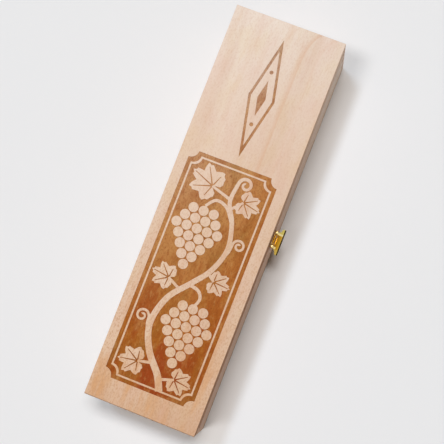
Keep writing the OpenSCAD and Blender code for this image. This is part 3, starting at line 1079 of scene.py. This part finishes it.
@dataclass(frozen=True)
class VinePlaque:
    """The engraved plaque: a sunk field with a vine, two bunches and six leaves left standing.

    Its drawing is seen from above with the neck end up: x to the clasp side, y to the neck end.
    """

    half_width: float = 39.5
    half_height: float = 101.0
    scoop: float = 7.0
    line_inset: float = 3.4
    line_width: float = 1.5
    grape: float = 4.25
    grape_sides: int = 30
    grape_pitch: float = 9.1
    grape_step: float = 7.9
    bunch_rows: tuple[int, ...] = (3, 4, 5, 4, 3, 2, 1)
    bunches: tuple[Point, ...] = ((-10.8, 55.5), (10.8, -24.0))
    trunk: tuple[Point, ...] = (
        (9, -97), (3, -85), (-11, -68), (-18.5, -47), (-13, -23), (1, -5), (13, 11), (19.5, 32),
        (15, 54), (7, 70), (8, 86))
    stalks: tuple[tuple[Point, ...], ...] = (
        ((14, 55), (6, 65), (-4, 67.5), (-11, 60)), ((0, -6), (9, -8), (13, -14), (11, -21)))
    leaves: tuple[tuple[VineLeaf, Point], ...] = (
        (VineLeaf(-15.0, 79.0, 18.0, 158), (7, 72)), (VineLeaf(20.5, 73.0, 13.2, -12), (9, 64)),
        (VineLeaf(-20.5, -6.0, 13.2, 172), (-5, -13)), (VineLeaf(21.0, 3.0, 12.3, -4), (11, 9)),
        (VineLeaf(-19.5, -80.5, 14.2, 190), (-4, -77)), (VineLeaf(20.0, -84.0, 13.0, -8), (5, -88)))
    tendrils: tuple[Tendril, ...] = (
        Tendril(((19, 26), (21.3, 31)), (27.3, 38.0), 5.4, 180, -1.35, 2.2),
        Tendril(((-18, -54), (-20.5, -49)), (-27.0, -43.5), 5.8, 0, 1.35, 2.2),
        Tendril(((7.5, 82),), (14.5, 87.5), 6.2, 180, -1.2, 3.2))
    trunk_widths: Point = (6.2, 3.2)
    stalk_widths: Point = (3.0, 2.4)
    leaf_stalk_widths: Point = (2.6, 2.0)

    def standing(self) -> list[Outline]:
        """Draws what is left standing, other than the leaves and the border line.

        Returns:
            The outlines of the trunk, the stalks, the tendrils and the grapes.
        """
        shapes = [ribbon(spline(self.trunk), *self.trunk_widths)]
        shapes += [ribbon(spline(stalk), *self.stalk_widths) for stalk in self.stalks]
        shapes += [ribbon([start, leaf.base], *self.leaf_stalk_widths) for leaf, start in self.leaves]
        shapes += [tendril.outline() for tendril in self.tendrils]
        for middle, top in self.bunches:
            for row, count in enumerate(self.bunch_rows):
                for place in range(count):
                    x = middle + (place - (count - 1) / 2) * self.grape_pitch
                    y = top - row * self.grape_step
                    shapes.append(ring((x, y), self.grape, self.grape_sides))
        return shapes


@dataclass
class LidPanel:
    """The lid's plywood top with its two engravings."""

    edge_ease: float = 0.3
    corner_radius: float = 0.5
    engraving_depth: float = 0.4
    plaque: VinePlaque = VinePlaque()
    plaque_middle: Point = (-0.75, -54.0)
    stringing_middle: float = 107.0
    stringing_half: Point = (11.6, 53.0)
    stringing_line: float = 2.2
    heart_half: Point = (3.6, 16.0)
    dot_radius: float = 1.7
    dot_sides: int = 24
    dot_offset: float = 23.5
    rim: float = 1.5
    skin: float = 0.01
    # At the foot end, eased faces up to this slope take the ply edge: a painted dark line of shade along
    # that edge.
    foot_edge_shade_slope: float = 0.9

    # How far cutting blocks go past the face. No two that meet end in one plane.
    past_sunk: float = 0.5
    past_border: float = 1.0
    past_leaf: float = 1.1
    leaf_step: float = 0.013
    past_shape: float = 1.2
    shape_step: float = 0.011
    past_hole: float = 2.0
    hole_step: float = 0.017

    ENGRAVED = 1
    SAWN = 2

    @property
    def top(self) -> float:
        """The height of the panel's face in millimetres."""
        return LID_HIGH.z / MM

    @property
    def floor(self) -> float:
        """The height of the engravings' floor in millimetres."""
        return self.top - self.engraving_depth

    def block(self) -> bpy.types.Object:
        """Makes the panel's block, with rounded corners and eased edges.

        Returns:
            The block.
        """
        deselect()
        bpy.ops.mesh.primitive_cube_add(size=1.0, location=(LID_LOW + LID_HIGH) / 2)
        panel = bpy.context.object
        panel.name = "engraved_lid_panel"
        panel.scale = LID_HIGH - LID_LOW
        bpy.ops.object.transform_apply(location=True, rotation=True, scale=True)
        with editing(panel, edges=lambda a, b: abs(a.z - b.z) > MM):
            bpy.ops.mesh.bevel(offset=self.corner_radius * MM, segments=5, affect="EDGES")
        with editing(panel, edges=lambda a, b: abs(a.z - b.z) < 0.1 * MM):
            bpy.ops.mesh.bevel(offset=self.edge_ease * MM, segments=3, affect="EDGES")
        return panel

    def spots(self, drawing: Outline, middle: Point) -> Outline:
        """Moves a drawing's points to their place on the box, in millimetres."""
        return [(middle[1] + y, -(middle[0] + x)) for x, y in drawing]

    def sunk(self, name: str, drawing: Outline, middle: Point) -> bpy.types.Object:
        """Makes the block that cuts a drawing into the face, down to the engravings' floor."""
        return prism(name, self.spots(drawing, middle), self.floor, self.top + self.past_sunk)

    def through(self, name: str, drawing: Outline, middle: Point, past: float) -> bpy.types.Object:
        """Makes a block of a drawing that goes past the face and past the engravings' floor."""
        return prism(name, self.spots(drawing, middle), self.floor - past, self.top + past)

    def plaque_tool(self) -> bpy.types.Object:
        """Makes the block that is cut away for the plaque.

        Returns:
            The block.
        """
        plaque, put = self.plaque, self.plaque_middle
        field = scooped(plaque.half_width, plaque.half_height, plaque.scoop)
        tool = self.sunk("plaque_tool", field, put)
        inner = [plaque.line_inset, plaque.line_inset + plaque.line_width]
        lines = [scooped(plaque.half_width - i, plaque.half_height - i, plaque.scoop) for i in inner]
        border = self.through("border", lines[0], put, self.past_border)
        cut_away(border, self.through("border_inside", lines[1], put, self.past_hole))
        standing = [border]
        for number, (leaf, _) in enumerate(plaque.leaves):
            past = self.past_leaf + number * self.leaf_step
            block = self.through("leaf", leaf.outline(), put, past)
            veins = [self.through("vein", vein, put, self.past_hole + n * self.hole_step)
                     for n, vein in enumerate(leaf.veins())]
            cut_away(block, joined(veins))
            standing.append(block)
        for number, shape in enumerate(plaque.standing()):
            past = self.past_shape + number * self.shape_step
            standing.append(self.through("standing", shape, put, past))
        cut_away(tool, joined(standing))
        return tool

    def stringing_tools(self) -> list[bpy.types.Object]:
        """Makes the blocks that are cut away for the lozenges and the dots.

        Returns:
            The blocks.
        """
        put = (self.plaque_middle[0], self.stringing_middle)
        half_width, half_height = self.stringing_half
        slant = math.hypot(half_width, half_height)
        shrink = self.stringing_line * slant / (half_width * half_height)
        inner = lozenge(half_width * (1 - shrink), half_height * (1 - shrink))
        line = self.sunk("lozenge", lozenge(half_width, half_height), put)
        cut_away(line, self.through("inside", inner, put, self.past_border))
        heart = self.sunk("heart", lozenge(*self.heart_half), put)
        dots = [self.sunk("dot", ring((0.0, y), self.dot_radius, self.dot_sides), put)
                for y in (self.dot_offset, -self.dot_offset)]
        return [line, heart, *dots]

    def dress_faces(self, panel: bpy.types.Object) -> None:
        """Gives the panel its veneer, the engravings their scorch and the sides their plies, which at the
        foot end also cover the eased edge as painted shade.

        Args:
            panel: The engraved panel.
        """
        edge = PlyEdge("lid_ply_edge", LID_LOW.z, LID_HIGH.z - LID_LOW.z)
        dress(panel, LID_VENEER, Scorch("engraving"), edge)
        rim, skin = self.rim * MM, self.skin * MM
        for polygon in panel.data.polygons:
            middle = polygon.center
            inside = abs(middle.x) < NECK_END - rim and abs(middle.y) < BACK - rim
            # At the foot end the eased edge takes the ply edge too: painted shade.
            slope = self.foot_edge_shade_slope if middle.x < FOOT_END + rim else UPRIGHT
            if inside and LID_LOW.z + rim < middle.z < LID_HIGH.z - skin:
                polygon.material_index = self.ENGRAVED
            elif not inside and abs(polygon.normal.z) < slope:
                polygon.material_index = self.SAWN

    def build(self) -> None:
        """Builds, engraves and dresses the panel."""
        panel = self.block()
        cut_away(panel, self.plaque_tool())
        for tool in self.stringing_tools():
            cut_away(panel, tool)
        self.dress_faces(panel)
        soften(panel)
        hand_in(panel, "lid", "lid_plywood", "lid_top_panel")


# ---------------------------------------------------------------- boards, rest and metalwork


@dataclass
class Carcase:
    """The boards of the body and of the lid, the bottom panel and the neck rest."""

    ease: float = 0.30
    sides: tuple[tuple[str, str], ...] = (
        ("body_front_board", "box"), ("body_back_board", "box"),
        ("lid_front_board", "lid"), ("lid_back_board", "lid"))
    ends: tuple[tuple[str, str], ...] = (
        ("body_foot_end_board", "box"), ("body_neck_end_board", "box"),
        ("lid_foot_end_board", "lid"), ("lid_neck_end_board", "lid"))

    def board(self, node: str, body: str, slot: str, *finishes: Finish) -> None:
        """Copies a board from the frame, takes the sharpness off its edges and dresses it.

        Args:
            node: The frame node.
            body: The body that it rides on.
            slot: The record's material slot.
            *finishes: Its face's finish, and that of its upright faces if it is another.
        """
        piece = copy_of_node(node, node + "_eased")
        round_edges(piece, self.ease)
        dress(piece, *finishes)
        for polygon in piece.data.polygons:
            if len(finishes) > 1 and abs(polygon.normal.z) < UPRIGHT:
                polygon.material_index = 1
        soften(piece)
        hand_in(piece, body, slot, node)

    def build(self) -> None:
        """Builds and dresses every board, the bottom and the notched rest of the neck."""
        for number, (node, body) in enumerate(self.sides):
            self.board(node, body, "side_wood", side_timber(number))
        for number, (node, body) in enumerate(self.ends):
            self.board(node, body, "end_wood", end_timber(number))
        low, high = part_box("bottom_panel")
        plies = PlyEdge("bottom_ply_edge", low.z, high.z - low.z)
        self.board("bottom_panel", "box", "plywood", BOTTOM_VENEER, plies)
        self.board("neck_rest", "box", "rest_wood", REST_TIMBER)


@dataclass
class Metalwork:
    """Hinges, clasp, pins and nails; the sheet brass of hinges and clasp has its edges slightly rounded.
    """

    sheet_ease: float = 0.14
    pieces: tuple[tuple[str, str, str], ...] = (
        ("hinge_body_leaf_1", "box", "hinge_brass"), ("hinge_body_leaf_2", "box", "hinge_brass"),
        ("hinge_lid_leaf_1", "lid", "hinge_brass"), ("hinge_lid_leaf_2", "lid", "hinge_brass"),
        ("clasp_lid_plate", "lid", "clasp_brass"), ("clasp_hasp", "hasp", "clasp_brass"),
        ("clasp_hook_plate", "box", "clasp_brass"), ("hinge_pin_1", "box", "pin_steel"),
        ("hinge_pin_2", "box", "pin_steel"), ("clasp_pin", "lid", "pin_steel"),
        ("hinge_body_nails", "box", "nail_brass"), ("hinge_lid_nails", "lid", "nail_brass"),
        ("clasp_lid_nails", "lid", "nail_brass"), ("clasp_body_nails", "box", "nail_brass"))

    def build(self) -> None:
        """Builds and dresses every piece of metal."""
        for node, body, slot in self.pieces:
            piece = copy_of_node(node, node + "_rounded")
            if slot in ("hinge_brass", "clasp_brass"):
                round_edges(piece, self.sheet_ease)
            dress(piece, METALS.get(node, METALS[slot]))
            soften(piece)
            hand_in(piece, body, slot, node)


# ---------------------------------------------------------------- the studio


@dataclass(frozen=True)
class Lamp:
    """A level oval light: its share of the light, its tint, its place and its half widths.

    The place and the half widths are given for a height of one metre.
    """

    name: str
    share: float
    tint: tuple[float, float, float]
    place: Point
    half: Point

    def hang(self, height: float, level: float) -> None:
        """Hangs the light.

        Args:
            height: How high it hangs.
            level: What all lights together give a white sheet below them.
        """
        spread = (self.half[0] ** 2 + self.half[1] ** 2) / 4
        slant = 1.0 + self.place[0] ** 2 + self.place[1] ** 2 + spread
        light = bpy.data.lights.new(self.name, "AREA")
        light.shape = "ELLIPSE"
        light.size = 2 * self.half[0] * height
        light.size_y = 2 * self.half[1] * height
        light.color = self.tint
        light.energy = self.share * level * (math.pi * height * slant) ** 2
        lamp = bpy.data.objects.new(self.name, light)
        lamp.location = (self.place[0] * height, self.place[1] * height, height)
        bpy.context.scene.collection.objects.link(lamp)


@dataclass
class Studio:
    """A plain pale floor, three soft lights overhead, a pale surround and the camera."""

    floor_size: float = 14.0
    floor_shade: Shade = shade(232, 232, 233)
    surround: Shade = shade(214, 214, 214)
    fill: float = 0.06
    fill_tint: Shade = (1.55, 1.00, 0.45, 1.0)
    floor_speckle: Shade = shade(214, 215, 216)
    speckle_shows: Point = (0.3, 0.7)
    speckle_amount: float = 0.03
    floor_rough: float = 0.9
    floor_sheen: float = 0.1
    light_height: float = 24.0
    lamps: tuple[Lamp, ...] = (
        Lamp("soft_foot", 0.300, (1.006, 1.0, 0.994), (-0.192, 0.196), (0.078, 0.121)),
        Lamp("soft_back", 0.215, (0.815, 1.0, 1.185), (0.146, 0.235), (0.091, 0.057)),
        Lamp("soft_neck", 0.485, (1.006, 1.0, 0.994), (0.219, -0.023), (0.077, 0.151)))
    sensor: float = 36.0
    lens: float = 98.93
    camera_place: Vector = Vector((-0.0640, -0.1053, 1.0981))
    camera_turn: tuple[float, float, float] = (5.322, 3.955, -68.668)

    def build(self) -> None:
        """Builds the whole studio."""
        self.floor()
        self.world()
        for lamp in self.lamps:
            lamp.hang(self.light_height, 1.0 - self.fill)
        self.camera()

    def floor(self) -> None:
        """Lays the floor."""
        deselect()
        bpy.ops.mesh.primitive_plane_add(size=self.floor_size, location=(0.0, 0.0, 0.0))
        floor = bpy.context.object
        floor.name = "floor"
        graph = Graph("floor_paper")
        speckle = graph.noise(graph.place, scale=900.0)
        colour = graph.veil(self.floor_shade, self.floor_speckle, speckle, *self.speckle_shows,
                            self.speckle_amount)
        graph.finish(colour, self.floor_rough, self.floor_sheen)
        floor.data.materials.append(graph.material)

    def world(self) -> None:
        """Sets a soft fill light, with the pale surround for the camera and for reflections."""
        world = bpy.data.worlds.new("studio")
        bpy.context.scene.world = world
        world.use_nodes = True
        tree = Tree(world.node_tree)
        path = tree.node("LightPath", {}).outputs
        seen = tree.calc("MAXIMUM", path["Is Camera Ray"], path["Is Glossy Ray"])
        seen = tree.calc("MAXIMUM", seen, path["Is Transmission Ray"])
        lit = tree.node("Background", {0: self.fill_tint, 1: self.fill})
        shown = tree.node("Background", {0: self.surround})
        either = tree.node("MixShader", {0: seen, 1: lit.outputs[0], 2: shown.outputs[0]})
        tree.node("OutputWorld", {0: either.outputs[0]})

    def camera(self) -> None:
        """Sets the camera above the box."""
        camera = bpy.data.objects.new("camera", bpy.data.cameras.new("camera"))
        camera.data.sensor_fit = "HORIZONTAL"
        camera.data.sensor_width = self.sensor
        camera.data.lens = self.lens
        camera.location = self.camera_place
        camera.rotation_euler = [math.radians(a) for a in self.camera_turn]
        bpy.context.scene.collection.objects.link(camera)
        bpy.context.scene.camera = camera
        bpy.context.scene.view_settings.view_transform = "Standard"


# ---------------------------------------------------------------- this box's own finishes

BOARD_TONE = shade(224, 192, 164)
FOOT_TONE = shade(219, 184, 154)
LATE_TONE = shade(196, 146, 108)
END_SKIN = 0.35 * MM
REST_SKIN = 0.25 * MM

# Its tones pale and whiten towards the neck end: partly the veneer's own tone, partly painted light that
# falls off towards the foot.
LID_VENEER = Veneer(
    "lid_veneer",
    ((FOOT_END, shade(208, 169, 136)), (FOOT_END + 0.030, shade(219, 185, 154)),
     (-0.030, shade(224, 196, 171)), (0.060, shade(227, 202, 181)), (NECK_END, shade(235, 221, 208))),
    shade(206, 160, 126), ring_pitch=0.013, ring_depth=0.12, pith=(0.10, -0.30), seed=1.7,
    bands=Figure(7.0, 40.0, 3.0, 0.14), streaks=Figure(22.0, 380.0, 4.0, 0.10),
    fibres=Figure(70.0, 2600.0, 2.0, 0.10), rough=0.55, flecks=0.25)
BOTTOM_VENEER = Timber(
    "bottom_veneer", ((FOOT_END, shade(214, 178, 146)), (NECK_END, shade(222, 190, 160))),
    LATE_TONE, ring_pitch=0.011, ring_depth=0.20, pith=(-0.08, -0.25), seed=8.3)
# The front boards' tones hold painted light: they pale towards the neck end, where the side is lit more.
# The lid's front darkens towards the foot, partly its own timber and partly painted shade, most just below
# the clasp, where the clasp's shadow falls.
SIDE_TONES_WITH_PAINTED_LIGHT = (  # the body's front and back, then the lid's
    ((FOOT_END, shade(204, 174, 156)), (0.0, shade(203, 175, 157)), (NECK_END, shade(243, 229, 216))),
    ((FOOT_END, FOOT_TONE), (NECK_END, BOARD_TONE)),
    ((FOOT_END, shade(156, 112, 82)), (-0.014, shade(148, 103, 74)), (0.020, shade(176, 137, 109)),
     (NECK_END, shade(243, 222, 203))),
    ((FOOT_END, FOOT_TONE), (NECK_END, BOARD_TONE)))
END_TONES = ((FRONT - 0.001, BOARD_TONE), (BACK + 0.001, FOOT_TONE))
REST_TIMBER = Timber(
    "rest_timber", ((FRONT, BOARD_TONE), (BACK, BOARD_TONE)), LATE_TONE, grain=Axis.ACROSS,
    pith=(0.13, -0.03), seed=5.1, end_from=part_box("neck_rest")[1].y - REST_SKIN)


def side_timber(number: int) -> Timber:
    """Picks the timber of a long board, each board cut from another place of the tree.

    Args:
        number: The board's place in the carcase's list of sides.

    Returns:
        The timber.
    """
    pith = ((0.03, -0.02), (-0.02, -0.05), (0.01, 0.16), (-0.01, 0.13))[number]
    # The fronts' tones carry painted light and painted shade along the box.
    return Timber(f"side_timber_{number}", SIDE_TONES_WITH_PAINTED_LIGHT[number], LATE_TONE, pith=pith,
                  ring_depth=0.24, seed=2.0 + 3.1 * number, end_from=NECK_END - END_SKIN,
                  rough=0.72, sheen=0.08)


def end_timber(number: int) -> Timber:
    """Picks the timber of an end board, its grain running across the box.

    Args:
        number: The board's place in the carcase's list of ends.

    Returns:
        The timber.
    """
    pith = ((-0.15, -0.03), (0.20, -0.02), (-0.14, 0.15), (0.19, 0.14))[number]
    return Timber(f"end_timber_{number}", END_TONES, LATE_TONE, grain=Axis.ACROSS, pith=pith,
                  seed=4.0 + 2.3 * number, end_from=BACK - END_SKIN)


# Painted light on the clasp: shade in the window's corners beside the wood and on the lip's rolled-down
# edge, highlights on the crests and the ears.
PAINTED_KNUCKLE_SHADE = shade(84, 54, 24)
PAINTED_LIP_SHADE = shade(66, 50, 14)
PAINTED_CREST_HIGHLIGHT = shade(255, 240, 176)
PAINTED_EAR_HIGHLIGHT = shade(226, 212, 118)

METALS = {
    "clasp_hasp": Metal(
        "clasp_hasp_finish", shade(214, 158, 38), shade(150, 98, 18), 0.38,
        # All of these are painted light: the duller middle by the wall and the lip's rolled edge are
        # painted shade; the pale line by the lip, the ears and the side crests are painted highlights.
        painted_light_zones=(Zone(shade(160, 108, 24), 0.8, aside=(-5.3, 5.3), out=(0.0, 4.4)),
               Zone(shade(222, 180, 84), 0.7, out=(6.1, 6.9)),
               Zone(PAINTED_EAR_HIGHLIGHT, 0.8, aside=(7.0, 18.0)),
               Zone(PAINTED_EAR_HIGHLIGHT, 0.4, aside=(-18.0, -7.0)),
               Zone(PAINTED_CREST_HIGHLIGHT, 0.9, aside=(5.3, 7.0)),
               Zone(PAINTED_CREST_HIGHLIGHT, 0.9, aside=(-7.1, -5.3), out=(0.0, 4.6)),
               Zone(PAINTED_LIP_SHADE, out=(6.9, 11.0)))),
    "clasp_lid_plate": Metal(
        "clasp_lid_plate_finish", shade(206, 150, 56), shade(140, 88, 26), 0.40,
        # Painted shade: on the plate's top edge under the lid's edge, and in the window's corners beside
        # the wood.
        painted_light_zones=(Zone(shade(62, 40, 18), below=(-1.8, 0.9)),
               Zone(PAINTED_KNUCKLE_SHADE, 0.8, aside=(3.5, 5.3), out=(-1.0, 2.2)),
               Zone(PAINTED_KNUCKLE_SHADE, 0.8, aside=(-5.3, -3.5), out=(-1.0, 2.2)))),
    # Darker brass than the hasp: painted shade, as the plate sits under the hasp.
    "clasp_hook_plate": Metal(
        "clasp_hook_plate_shaded_finish", shade(150, 98, 28), shade(92, 56, 16), 0.44),
    "clasp_pin": Metal("clasp_pin_finish", shade(192, 138, 34), shade(134, 88, 22), 0.40),
    "clasp_brass": Metal("clasp_brass_finish", shade(216, 152, 44), shade(140, 84, 22), 0.38),
    "hinge_brass": Metal("hinge_brass_finish", shade(228, 184, 104), shade(166, 120, 60), 0.34, 0.28),
    "nail_brass": Metal("nail_brass_finish", shade(230, 186, 104), shade(150, 104, 50), 0.30, 0.30),
    "pin_steel": Metal("pin_steel_finish", shade(206, 200, 188), shade(120, 110, 98), 0.30, 0.40),
}


def main() -> None:
    """Builds every piece in order."""
    logging.basicConfig(level=logging.INFO, format="%(name)s: %(message)s")
    LidPanel().build()
    Carcase().build()
    Metalwork().build()
    Studio().build()
    deselect()


if __name__ == "__main__":
    main()
